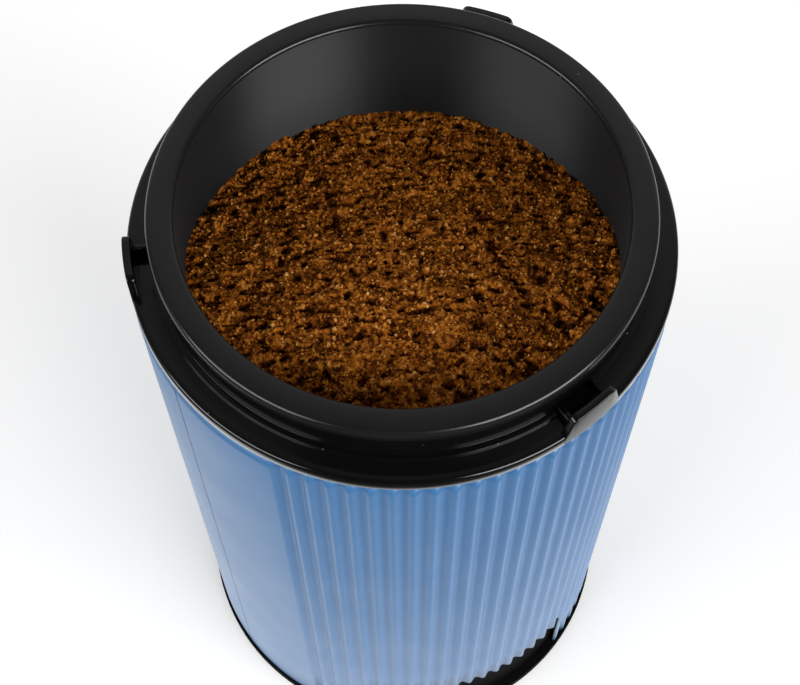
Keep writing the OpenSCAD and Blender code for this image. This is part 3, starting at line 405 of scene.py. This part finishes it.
def floorFinish():
    # part of the floor's white is its own painted glow, rising to the back, so the shadows stay pale; in reflections
    # only, the glow is painted stronger round the foot as a painted reflection, and the floor ahead of the grinder
    # is painted near black as a painted dark reflection, though the lamps light it
    material, graph, shader = startMaterial("paleFloor")
    place = graph.place()
    axes = graph.axes(place)
    low, high = ([channel * tint for channel in floor["colour"]] for tint in floor["tint"])
    cloud = graph.cloud(place, floor["tintScale"], floor["tintDetail"], floor["tintRough"])
    tone = graph.mix(cloud, (*low, 1), (*high, 1))
    ray = graph.node("ShaderNodeLightPath").outputs
    mirrored = graph.calc("MAXIMUM", ray["Is Glossy Ray"], ray["Is Transmission Ray"])
    # painted dark reflection: glossy and transmission rays see the floor ahead as near black
    paintedDarkAhead = graph.calc("MULTIPLY", mirrored, graph.spread(axes["Y"], floor["paintedDarkAheadFrom"], floor["paintedDarkAheadTo"]))
    bright = graph.calc("SUBTRACT", mirrored, paintedDarkAhead)
    reach = graph.node("ShaderNodeVectorMath", {0: place}, operation="LENGTH").outputs["Value"]
    # painted reflection: round the foot, reflections see the floor's glow brighter
    paintedReflectionGain = graph.spread(reach, floor["paintedReflectionGainFrom"], floor["paintedReflectionGainTo"], floor["paintedReflectionGainNear"], floor["paintedReflectionGainFar"])
    shown = graph.calc("MULTIPLY_ADD", bright, paintedReflectionGain, ray["Is Camera Ray"])
    level = graph.spread(axes["Y"], floor["glowFrom"], floor["glowTo"], floor["glowNear"], floor["glowFar"])
    graph.feed(shader["Emission Strength"], graph.calc("MULTIPLY", shown, level))
    graph.feed(shader["Emission Color"], (1, 1, 1, 1))
    graph.feed(shader["Base Color"], graph.mix(paintedDarkAhead, tone, (*floor["paintedDarkAheadTone"], 1)))
    graph.feed(shader["Roughness"], floor["roughness"])
    graph.feed(shader["Specular IOR Level"], floor["specular"])
    return material


def makeFloor():
    bm = bmesh.new()
    bmesh.ops.create_circle(bm, segments=floor["sides"], radius=floor["radius"], cap_ends=True)
    bmesh.ops.recalc_face_normals(bm, faces=bm.faces)
    mesh = bpy.data.meshes.new("studioFloor")
    bm.to_mesh(mesh)
    bm.free()
    mesh.materials.append(floorFinish())
    piece = bpy.data.objects.new("studioFloor", mesh)
    scene.collection.objects.link(piece)


makeFloor()
print("grinder: floor made")


turning = {"fineUpTo": 0.45, "fineSegments": 3, "fullSegments": 5, "merge": 1e-6}


def roundOff(bm, geom, radius, segments, affect="EDGES"):
    bmesh.ops.bevel(bm, geom=geom, offset=radius * mm, offset_type="OFFSET", segments=segments,
                    profile=0.5, affect=affect, material=-1)


def vertsOf(grown):
    return [g for g in grown["geom"] if isinstance(g, bmesh.types.BMVert)]


def azimuthOf(point):
    return math.degrees(math.atan2(point.y, point.x)) % 360


def turnBetween(first, second):
    return abs((first - second + 180) % 360 - 180)


def lathe(bm, points, steps):
    # spins a closed wire of (radius, height) round Z; a third number in a point rounds that corner
    corners = [bm.verts.new((point[0] * mm, 0, point[1] * mm)) for point in points]
    for corner, following in zip(corners, corners[1:] + corners[:1]):
        bm.edges.new((corner, following))
    rounded = {}
    for corner, point in zip(corners, points):
        if len(point) > 2:
            rounded.setdefault(point[2], []).append(corner)
    for radius, group in rounded.items():
        segments = turning["fullSegments"] if radius > turning["fineUpTo"] else turning["fineSegments"]
        roundOff(bm, group, radius, segments, affect="VERTICES")
    bmesh.ops.spin(bm, geom=bm.verts[:] + bm.edges[:], cent=(0, 0, 0), axis=(0, 0, 1), dvec=(0, 0, 0),
                   angle=math.tau, steps=steps, use_merge=True, use_duplicate=False)
    bmesh.ops.remove_doubles(bm, verts=bm.verts, dist=turning["merge"])


def addInto(target, source):
    holder = bpy.data.meshes.new("holder")
    source.to_mesh(holder)
    source.free()
    target.from_mesh(holder)
    bpy.data.meshes.remove(holder)


def finishPiece(name, bm, body, materials, replaced=(), smooth=32):
    # smooth is the angle in degrees above which an edge stays sharp
    bmesh.ops.recalc_face_normals(bm, faces=bm.faces)
    mesh = bpy.data.meshes.new(name)
    bm.to_mesh(mesh)
    bm.free()
    for material in materials:
        mesh.materials.append(material)
    mesh.polygons.foreach_set("use_smooth", [True] * len(mesh.polygons))
    mesh.set_sharp_from_angle(angle=math.radians(smooth))
    piece = bpy.data.objects.new(name, mesh)
    scene.collection.objects.link(piece)
    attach(piece, body)
    if replaced:
        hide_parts(*replaced)
    return piece


sleeve = {"crest": 46.1, "bottom": 3.4, "top": 139.0, "sheet": 0.5, "flutes": 74, "depth": 0.85,
          "panel": 50.4, "seam": 217.3, "steps": 1440, "rows": 14, "turnIn": 3.0, "topRadius": 45.96,
          "cutFrom": 260.0, "cutTo": 321.0, "cutTop": 21.0, "notch": 90, "notchHalf": 9.8, "notchTop": 18.6,
          "ripple": 0.008, "rippleTurn": 0.05, "rippleRise": 9, "smooth": 50}


def fluteDrop(azimuth):
    # how far the sheet lies below the crests in this direction
    fromPanel = (azimuth - sleeve["seam"] - sleeve["panel"] / 2) % 360
    fluted = 360 - sleeve["panel"]
    if fromPanel >= fluted:
        return 0.0
    turn = fromPanel * sleeve["flutes"] / fluted
    return sleeve["depth"] * (1 - math.cos(math.tau * turn)) / 2


def isOpen(centre):
    # the opening and the cord's notch in the foot, and the slit of the butt seam
    azimuth, height = azimuthOf(centre), centre.z / mm
    inCut = sleeve["cutFrom"] < azimuth < sleeve["cutTo"] and height < sleeve["cutTop"]
    inNotch = abs(azimuth - sleeve["notch"]) < sleeve["notchHalf"] and height < sleeve["notchTop"]
    onSeam = abs(azimuth - sleeve["seam"]) < 180 / sleeve["steps"]
    return inCut or inNotch or onSeam


def makeSleeve():
    bm = bmesh.new()
    bmesh.ops.create_circle(bm, segments=sleeve["steps"], radius=sleeve["crest"] * mm, cap_ends=False)
    for vert in bm.verts:
        vert.co.z = sleeve["bottom"] * mm
    heights = [sleeve["bottom"], sleeve["notchTop"], sleeve["cutTop"]]
    rise = (sleeve["top"] - sleeve["turnIn"] - sleeve["cutTop"]) / sleeve["rows"]
    heights += [sleeve["cutTop"] + rise * (i + 1) for i in range(sleeve["rows"])] + [sleeve["top"]]
    ring = bm.edges[:]
    for low, high in zip(heights, heights[1:]):
        grown = bmesh.ops.extrude_edge_only(bm, edges=ring)
        ring = [g for g in grown["geom"] if isinstance(g, bmesh.types.BMEdge)]
        bmesh.ops.translate(bm, verts=vertsOf(grown), vec=(0, 0, (high - low) * mm))
    gone = [face for face in bm.faces if isOpen(face.calc_center_median())]
    bmesh.ops.delete(bm, geom=gone, context="FACES")
    for vert in bm.verts:
        azimuth = azimuthOf(vert.co)
        spot = Vector((azimuth * sleeve["rippleTurn"], 0, vert.co.z * sleeve["rippleRise"]))
        radius = sleeve["crest"] - fluteDrop(azimuth) - abs(sleeve["ripple"] * noise.noise(spot))
        if vert.co.z > (sleeve["top"] - near) * mm:
            radius = min(radius, sleeve["topRadius"])
        radius *= mm
        vert.co.x = radius * math.cos(math.radians(azimuth))
        vert.co.y = radius * math.sin(math.radians(azimuth))
    piece = finishPiece("sleeveSkin", bm, "base", [finishes["sleeve_paint"], cutEdge],
                        replaced=["outer_sleeve"], smooth=sleeve["smooth"])
    wall = piece.modifiers.new("sheet", "SOLIDIFY")
    wall.thickness = sleeve["sheet"] * mm
    wall.offset = -1
    wall.material_offset_rim = 1


makeSleeve()
print("grinder: sleeve rolled")


collar = {"outer": 46.0, "bottom": 139.0, "ledge": 141.4, "edge": 0.7, "footEdge": 0.15, "pocketOut": 44.6,
          "stepRadius": 42.3, "stepTop": 142.1, "stepEdge": 0.1, "stepRoot": 0.08,
          "neck": 41.2, "bore": 39.3, "neckTop": 147.4, "neckEdge": 0.4,
          "wellBottom": 85.9, "wellEdge": 0.2, "spigot": 42.7, "spigotBottom": 135.0, "steps": 720}
lug = {"azimuths": (70, 190, 310), "halfTop": 4.4, "halfFoot": 5.7, "height": 4.4, "thick": 1.4, "lift": 0.15,
       "corner": 0.9, "edge": 0.22, "proud": 0.03, "slice": 0.5,
       "pocket": 0.8, "pocketHalf": 5.5, "pocketAbove": 0.3, "weld": 2e-6,
       "rib": 1.0, "ribHeight": 2.6, "ribInto": 0.4, "ribEdge": 0.15}


def bendOnto(verts, radius, azimuth):
    # x runs along the rim, y outwards from it; wraps the piece round the axis
    for vert in verts:
        angle = math.radians(azimuth) + vert.co.x / radius
        reach = radius + vert.co.y
        vert.co.x, vert.co.y = reach * math.cos(angle), reach * math.sin(angle)


def sliceAcross(bm, half, pitch):
    # cuts every face at even x steps, so that a flat piece can bend
    count = int(2 * half / pitch)
    for i in range(1, count):
        bmesh.ops.bisect_plane(bm, geom=bm.verts[:] + bm.edges[:] + bm.faces[:], dist=1e-7,
                               plane_co=(-half + 2 * half * i / count, 0, 0), plane_no=(1, 0, 0))


def makeLug(azimuth):
    bm = bmesh.new()
    foot, top = collar["bottom"] + lug["lift"], collar["ledge"] + lug["height"]
    outline = [(-lug["halfFoot"], foot), (lug["halfFoot"], foot), (lug["halfFoot"], collar["ledge"]),
               (lug["halfTop"], top), (-lug["halfTop"], top), (-lug["halfFoot"], collar["ledge"])]
    face = bm.faces.new([bm.verts.new((x * mm, 0, z * mm)) for x, z in outline])
    grown = bmesh.ops.extrude_face_region(bm, geom=[face])
    bmesh.ops.translate(bm, verts=vertsOf(grown), vec=(0, -lug["thick"] * mm, 0))
    bm.edges.ensure_lookup_table()
    topEnds = [e for e in bm.edges if all(v.co.z > (top - near) * mm for v in e.verts)
               and abs(e.verts[0].co.x - e.verts[1].co.x) < 1e-6]
    roundOff(bm, topEnds, lug["corner"], 6)
    longEdges = [e for e in bm.edges if abs(e.verts[0].co.y - e.verts[1].co.y) < 1e-7
                 and all(v.co.z > (collar["ledge"] - near) * mm for v in e.verts)]
    roundOff(bm, longEdges, lug["edge"], 3)
    sliceAcross(bm, lug["halfFoot"] * mm, lug["slice"] * mm)
    bendOnto(bm.verts, (collar["outer"] + lug["proud"]) * mm, azimuth)
    return bm


def makeRib(azimuth):
    # the stop at the low end of each pocket
    bm = bmesh.new()
    bmesh.ops.create_cube(bm, size=1)
    reach = collar["outer"] - lug["thick"] - collar["neck"] + lug["ribInto"]
    bmesh.ops.scale(bm, verts=bm.verts, vec=(lug["rib"] * mm, reach * mm, lug["ribHeight"] * mm))
    roundOff(bm, bm.edges[:], lug["ribEdge"], 3)
    middle = (collar["neck"] + collar["outer"] - lug["thick"]) / 2
    along = -(lug["pocketHalf"] * math.pi / 180 * middle) + lug["rib"] / 2
    bmesh.ops.translate(bm, verts=bm.verts, vec=(along * mm, (middle - collar["outer"]) * mm,
                                                 (collar["ledge"] - lug["pocket"] + lug["ribHeight"] / 2) * mm))
    bendOnto(bm.verts, collar["outer"] * mm, azimuth)
    return bm


def inPocket(centre):
    radius, height = centre.xy.length / mm, centre.z / mm
    away = min(turnBetween(azimuthOf(centre), azimuth) for azimuth in lug["azimuths"])
    return (away < lug["pocketHalf"] and collar["neck"] - near < radius < collar["pocketOut"]
            and collar["ledge"] - near < height < collar["stepTop"] + lug["pocketAbove"])


def makeCollar():
    bm = bmesh.new()
    outline = [(collar["bore"], collar["wellBottom"], collar["wellEdge"]),
               (collar["neck"], collar["wellBottom"], collar["wellEdge"]),
               (collar["neck"], collar["spigotBottom"]),
               (collar["spigot"], collar["spigotBottom"], collar["wellEdge"]),
               (collar["spigot"], collar["bottom"]),
               (collar["outer"], collar["bottom"], collar["footEdge"]),
               (collar["outer"], collar["ledge"], collar["edge"]),
               (collar["pocketOut"], collar["ledge"]),
               (collar["stepRadius"], collar["ledge"], collar["stepRoot"]),
               (collar["stepRadius"], collar["stepTop"], collar["stepEdge"]),
               (collar["neck"], collar["stepTop"], collar["stepRoot"]),
               (collar["neck"], collar["neckTop"], collar["neckEdge"]),
               (collar["bore"], collar["neckTop"], collar["neckEdge"])]
    lathe(bm, outline, collar["steps"])
    pocket = [face for face in bm.faces if inPocket(face.calc_center_median())]
    grown = bmesh.ops.extrude_face_region(bm, geom=pocket)
    bmesh.ops.delete(bm, geom=pocket, context="FACES")
    for vert in vertsOf(grown):
        vert.co.z = (collar["ledge"] - lug["pocket"]) * mm
    bmesh.ops.remove_doubles(bm, verts=bm.verts, dist=lug["weld"])
    bmesh.ops.recalc_face_normals(bm, faces=bm.faces)
    for azimuth in lug["azimuths"]:
        for part in (makeLug(azimuth), makeRib(azimuth)):
            bmesh.ops.recalc_face_normals(part, faces=part.faces)
            addInto(bm, part)
    finishPiece("collarBody", bm, "base", [finishes["gloss_black"]], replaced=["collar"])


makeCollar()
print("grinder: collar turned")


cup = {"rim": 41.7, "rimBottom": 147.5, "rimTop": 150.0, "rimEdge": 0.9, "rimUnder": 0.25, "rimRoot": 0.3,
       "mouth": 37.1, "mouthEdge": 0.8, "outer": 38.7, "lowOuter": 37.9, "lowIn": 36.3, "floor": 103.0,
       "floorRound": 6.0, "under": 100.6, "underRound": 0.8, "skirt": 86.0, "skirtIn": 35.9, "skirtEdge": 0.25,
       "boss": 7.5, "bossTop": 108.5, "bossTopEdge": 0.4, "bossLowEdge": 0.3, "bossFoot": 9.0, "bossFootRound": 1.0,
       "bore": 5.0, "boreEdge": 0.2, "keyHalf": 3.9, "keyTop": 90.6, "keyDepth": 0.1, "keys": (30, 150, 270),
       "wallFrom": 0.3, "wallTo": 0.05, "steps": 540}
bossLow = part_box("cup_bearing")[0].z / mm


def cutKey(bm, azimuth):
    # a slot in the skirt that drops over one of the frame's keys
    halfAngle = math.degrees(math.asin(cup["keyHalf"] / cup["lowOuter"]))
    slot = []
    for face in bm.faces:
        centre = face.calc_center_median()
        radius, height = centre.xy.length / mm, centre.z / mm
        across = turnBetween(azimuthOf(centre), azimuth) < halfAngle
        if across and height < cup["keyTop"] and radius > cup["skirtIn"] - cup["keyDepth"]:
            slot.append(face)
    bmesh.ops.delete(bm, geom=slot, context="FACES")
    bmesh.ops.holes_fill(bm, edges=[e for e in bm.edges if e.is_boundary], sides=0)


def makeCup():
    bm = bmesh.new()
    outline = [(cup["bore"], bossLow), (cup["boss"], bossLow, cup["bossLowEdge"]),
               (cup["boss"], cup["under"], cup["underRound"]), (cup["skirtIn"], cup["under"], cup["underRound"]),
               (cup["skirtIn"], cup["keyTop"]), (cup["skirtIn"], cup["skirt"], cup["skirtEdge"]),
               (cup["lowOuter"], cup["skirt"], cup["skirtEdge"]), (cup["lowOuter"], cup["keyTop"]),
               (cup["lowOuter"], cup["under"]), (cup["outer"], cup["rimBottom"], cup["rimRoot"]),
               (cup["rim"], cup["rimBottom"], cup["rimUnder"]), (cup["rim"], cup["rimTop"], cup["rimEdge"]),
               (cup["mouth"], cup["rimTop"], cup["mouthEdge"]), (cup["lowIn"], cup["floor"], cup["floorRound"]),
               (cup["bossFoot"], cup["floor"], cup["bossFootRound"]),
               (cup["boss"], cup["bossTop"], cup["bossTopEdge"]), (cup["bore"], cup["bossTop"], cup["boreEdge"])]
    lathe(bm, outline, cup["steps"])
    for azimuth in cup["keys"]:
        cutKey(bm, azimuth)
    for face in bm.faces:
        centre = face.calc_center_median()
        inWall = cup["lowIn"] - cup["wallFrom"] < centre.xy.length / mm < cup["mouth"] + cup["wallTo"]
        if inWall and cup["floor"] + cup["floorRound"] < centre.z / mm < cup["rimTop"] - cup["mouthEdge"]:
            face.material_index = 1
    finishPiece("cupBody", bm, "cup", [finishes["satin_black"], scouredBlack],
                replaced=["grinding_cup"])


makeCup()
print("grinder: cup turned")


spring = {"wire": 0.2, "coil": 0.85, "turns": 8, "steps": 24, "sides": 10, "travel": 1.5, "smooth": 40}


def makeSpring():
    # the push rod's return spring, wound to fill the packed spring's box; the real one shortens as the rod goes down
    low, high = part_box("interlock_spring")
    bm = bmesh.new()
    bmesh.ops.create_circle(bm, segments=spring["sides"], radius=spring["wire"] * mm, cap_ends=False)
    bmesh.ops.rotate(bm, verts=bm.verts, cent=(0, 0, 0), matrix=Matrix.Rotation(math.pi / 2, 3, "X"))
    bmesh.ops.translate(bm, verts=bm.verts, vec=(spring["coil"] * mm, 0, low.z + spring["wire"] * mm))
    rise = high.z - low.z - 2 * spring["wire"] * mm
    steps = spring["turns"] * spring["steps"]
    bmesh.ops.spin(bm, geom=bm.verts[:] + bm.edges[:], cent=(0, 0, 0), axis=(0, 0, 1),
                   dvec=(0, 0, rise / steps), angle=math.tau * spring["turns"], steps=steps, use_duplicate=False)
    bmesh.ops.holes_fill(bm, edges=[e for e in bm.edges if e.is_boundary], sides=0)
    middle = (low + high) / 2
    bmesh.ops.translate(bm, verts=bm.verts, vec=(middle.x, middle.y, 0))
    piece = finishPiece("returnSpring", bm, "base", [finishes["steel"]],
                        replaced=["interlock_spring"], smooth=spring["smooth"])
    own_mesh(piece)


makeSpring()
print("grinder: spring wound")


# the crevice weight scales the painted shade in crevices and pits
coffee = {"reach": 37.6, "wall": 36.75, "cell": 0.26, "level": 133.4, "tilt": 8.6, "tiltWidth": 21.0,
          "sideLift": 1.8, "mound": 1.3, "toneSpread": 0.06, "toneScale": 500, "paintedShadeWeight": 0.5}
swell = {"height": 0.9, "width": 6.5, "cut": 3.1, "fade": 0.9, "step": 2.1, "octaves": 3}
# a pit's dark share is painted shade
pits = {"hollow": (1.9, 1.5, 9.4), "crack": (3.6, 1.0, 4.2), "crackLess": 0.04,  # widths in x and y, cut
        "from": 0.27, "steep": 5, "depth": 1.1, "dark": 0.5}
# past the dark limit, towards a clump's edge, the tone takes painted shade
clumps = {"sizes": ((3.1, 0.20), (1.5, 0.34), (0.75, 0.40)),  # width, height as a share of it
          "cut": 5.0, "warp": 0.3, "warpScale": 1.3, "middle": 0.5, "darkFrom": 0.35}
# the grains' crevice weight scales the painted shade of the spot each grain sits in
grain = {"count": 8200, "batch": 100, "seed": 11, "fromWall": 0.5, "crumb": (0.32, 0.75), "grit": (0.18, 0.4),
         "size": (0.8, 1.25), "sink": (-0.25, 0.25), "long": (0.8, 1.5), "wide": (0.7, 1.1), "flat": (0.5, 0.9),
         "tones": (-0.3, -0.15, -0.05, 0.05, 0.18, 0.34), "toneSpread": (0.6, 1.1), "paintedShadeWeight": 0.4,
         "smooth": 25}
noise.seed_set(grain["seed"])  # without it, noise_vector starts from the clock


def coffeeLevel(x, y):
    # the heap in millimetres: low at the back, higher at the sides and the front
    lie = coffee["level"] - coffee["tilt"] * math.tanh(y / coffee["tiltWidth"])
    out = math.hypot(x, y) / coffee["wall"]
    lie += coffee["sideLift"] * (x / coffee["wall"]) ** 2 + coffee["mound"] * (1 - out * out)
    spot = Vector((x, y, swell["cut"])) / swell["width"]
    return lie + swell["height"] * noise.fractal(spot, swell["fade"], swell["step"], swell["octaves"])


def coffeePit(x, y):
    # 0 on the heap, up to 1 in a hollow or a level crack between clumps
    hollow, crack = (noise.noise(Vector((x / wide, y / deep, cut)))
                     for wide, deep, cut in (pits["hollow"], pits["crack"]))
    return min(max((max(hollow, crack - pits["crackLess"]) - pits["from"]) * pits["steep"], 0), 1)


def coffeeSurface(x, y):
    # clumps of three sizes piled on the heap, with pits between them; returns height and a painted shade value,
    # darker in pits and between clumps
    rough, dark = 0.0, 0.0
    for size, share in clumps["sizes"]:
        spot = Vector((x, y, clumps["cut"] * size)) / size
        spot += clumps["warp"] * noise.noise_vector(spot * clumps["warpScale"])
        toMiddle = noise.voronoi(spot)[0][0]
        rough += share * size * (clumps["middle"] - toMiddle)
        # painted shade: darker towards each clump's edge, between the clumps
        dark += max(toMiddle - clumps["darkFrom"], 0) * share
    pit = coffeePit(x, y)
    # pits add painted shade as well
    return coffeeLevel(x, y) + rough - pits["depth"] * pit, pit * pits["dark"] + dark


def makeCoffee():
    bm = bmesh.new()
    count = int(2 * coffee["reach"] / coffee["cell"])
    bmesh.ops.create_grid(bm, x_segments=count, y_segments=count, size=coffee["reach"] * mm)
    outside = [v for v in bm.verts if v.co.xy.length > coffee["reach"] * mm]
    bmesh.ops.delete(bm, geom=outside, context="VERTS")
    tone = bm.verts.layers.float.new("crumbToneAndShade")
    for vert in bm.verts:
        height, paintedShade = coffeeSurface(vert.co.x / mm, vert.co.y / mm)
        # own random tone, less the painted shade of crevices and pits
        vert[tone] = (coffee["toneSpread"] * noise.noise(vert.co * coffee["toneScale"])
                      - coffee["paintedShadeWeight"] * paintedShade)
        vert.co.z = height * mm
    finishPiece("groundCoffee", bm, "cup", [groundCoffee], smooth=180)


def addGrain(bm, tone, rng, sizes):
    angle, out = rng.uniform(0, math.tau), math.sqrt(rng.random()) * (coffee["wall"] - grain["fromWall"])
    x, y = out * math.cos(angle), out * math.sin(angle)
    size = rng.uniform(*sizes) * rng.uniform(*grain["size"])
    height, paintedShade = coffeeSurface(x, y)
    z = height + size * rng.uniform(*grain["sink"])
    turn = Euler([rng.uniform(0, math.tau) for _ in range(3)]).to_matrix().to_4x4()
    stretch = Matrix.Diagonal([rng.uniform(*grain[side]) for side in ("long", "wide", "flat")] + [1])
    place = Matrix.Translation(Vector((x, y, z)) * mm) @ turn @ stretch
    made = bmesh.ops.create_icosphere(bm, subdivisions=1, radius=size * mm / 2, matrix=place)
    # random tone, less the painted shade where the grain lies
    shade = rng.choice(grain["tones"]) * rng.uniform(*grain["toneSpread"]) - grain["paintedShadeWeight"] * paintedShade
    for vert in made["verts"]:
        vert[tone] = shade


def makeGrains(name, sizes, seed):
    rng = random.Random(seed)
    bm = bmesh.new()
    bm.verts.layers.float.new("crumbToneAndShade")
    for _ in range(0, grain["count"], grain["batch"]):
        batch = bmesh.new()  # small batches, because each new grain takes longer in a full mesh
        tone = batch.verts.layers.float.new("crumbToneAndShade")
        for _ in range(grain["batch"]):
            addGrain(batch, tone, rng, sizes)
        addInto(bm, batch)
    finishPiece(name, bm, "cup", [groundCoffee], smooth=grain["smooth"])


makeCoffee()
makeGrains("coffeeCrumbs", grain["crumb"], grain["seed"])
makeGrains("coffeeGrit", grain["grit"], grain["seed"] + 1)
print("grinder: coffee filled in")


slotOf = {part["node"]: part["material_slot"] for part in frame["record"]["subparts"]}
finishOf = {"base_ring": "foot_black"}  # nodes whose finish isn't their slot's own
for name, node in frame["nodes"].items():
    node.data.materials.clear()
    node.data.materials.append(finishes[finishOf.get(name, slotOf[name])])
print("grinder: finishes on every node")
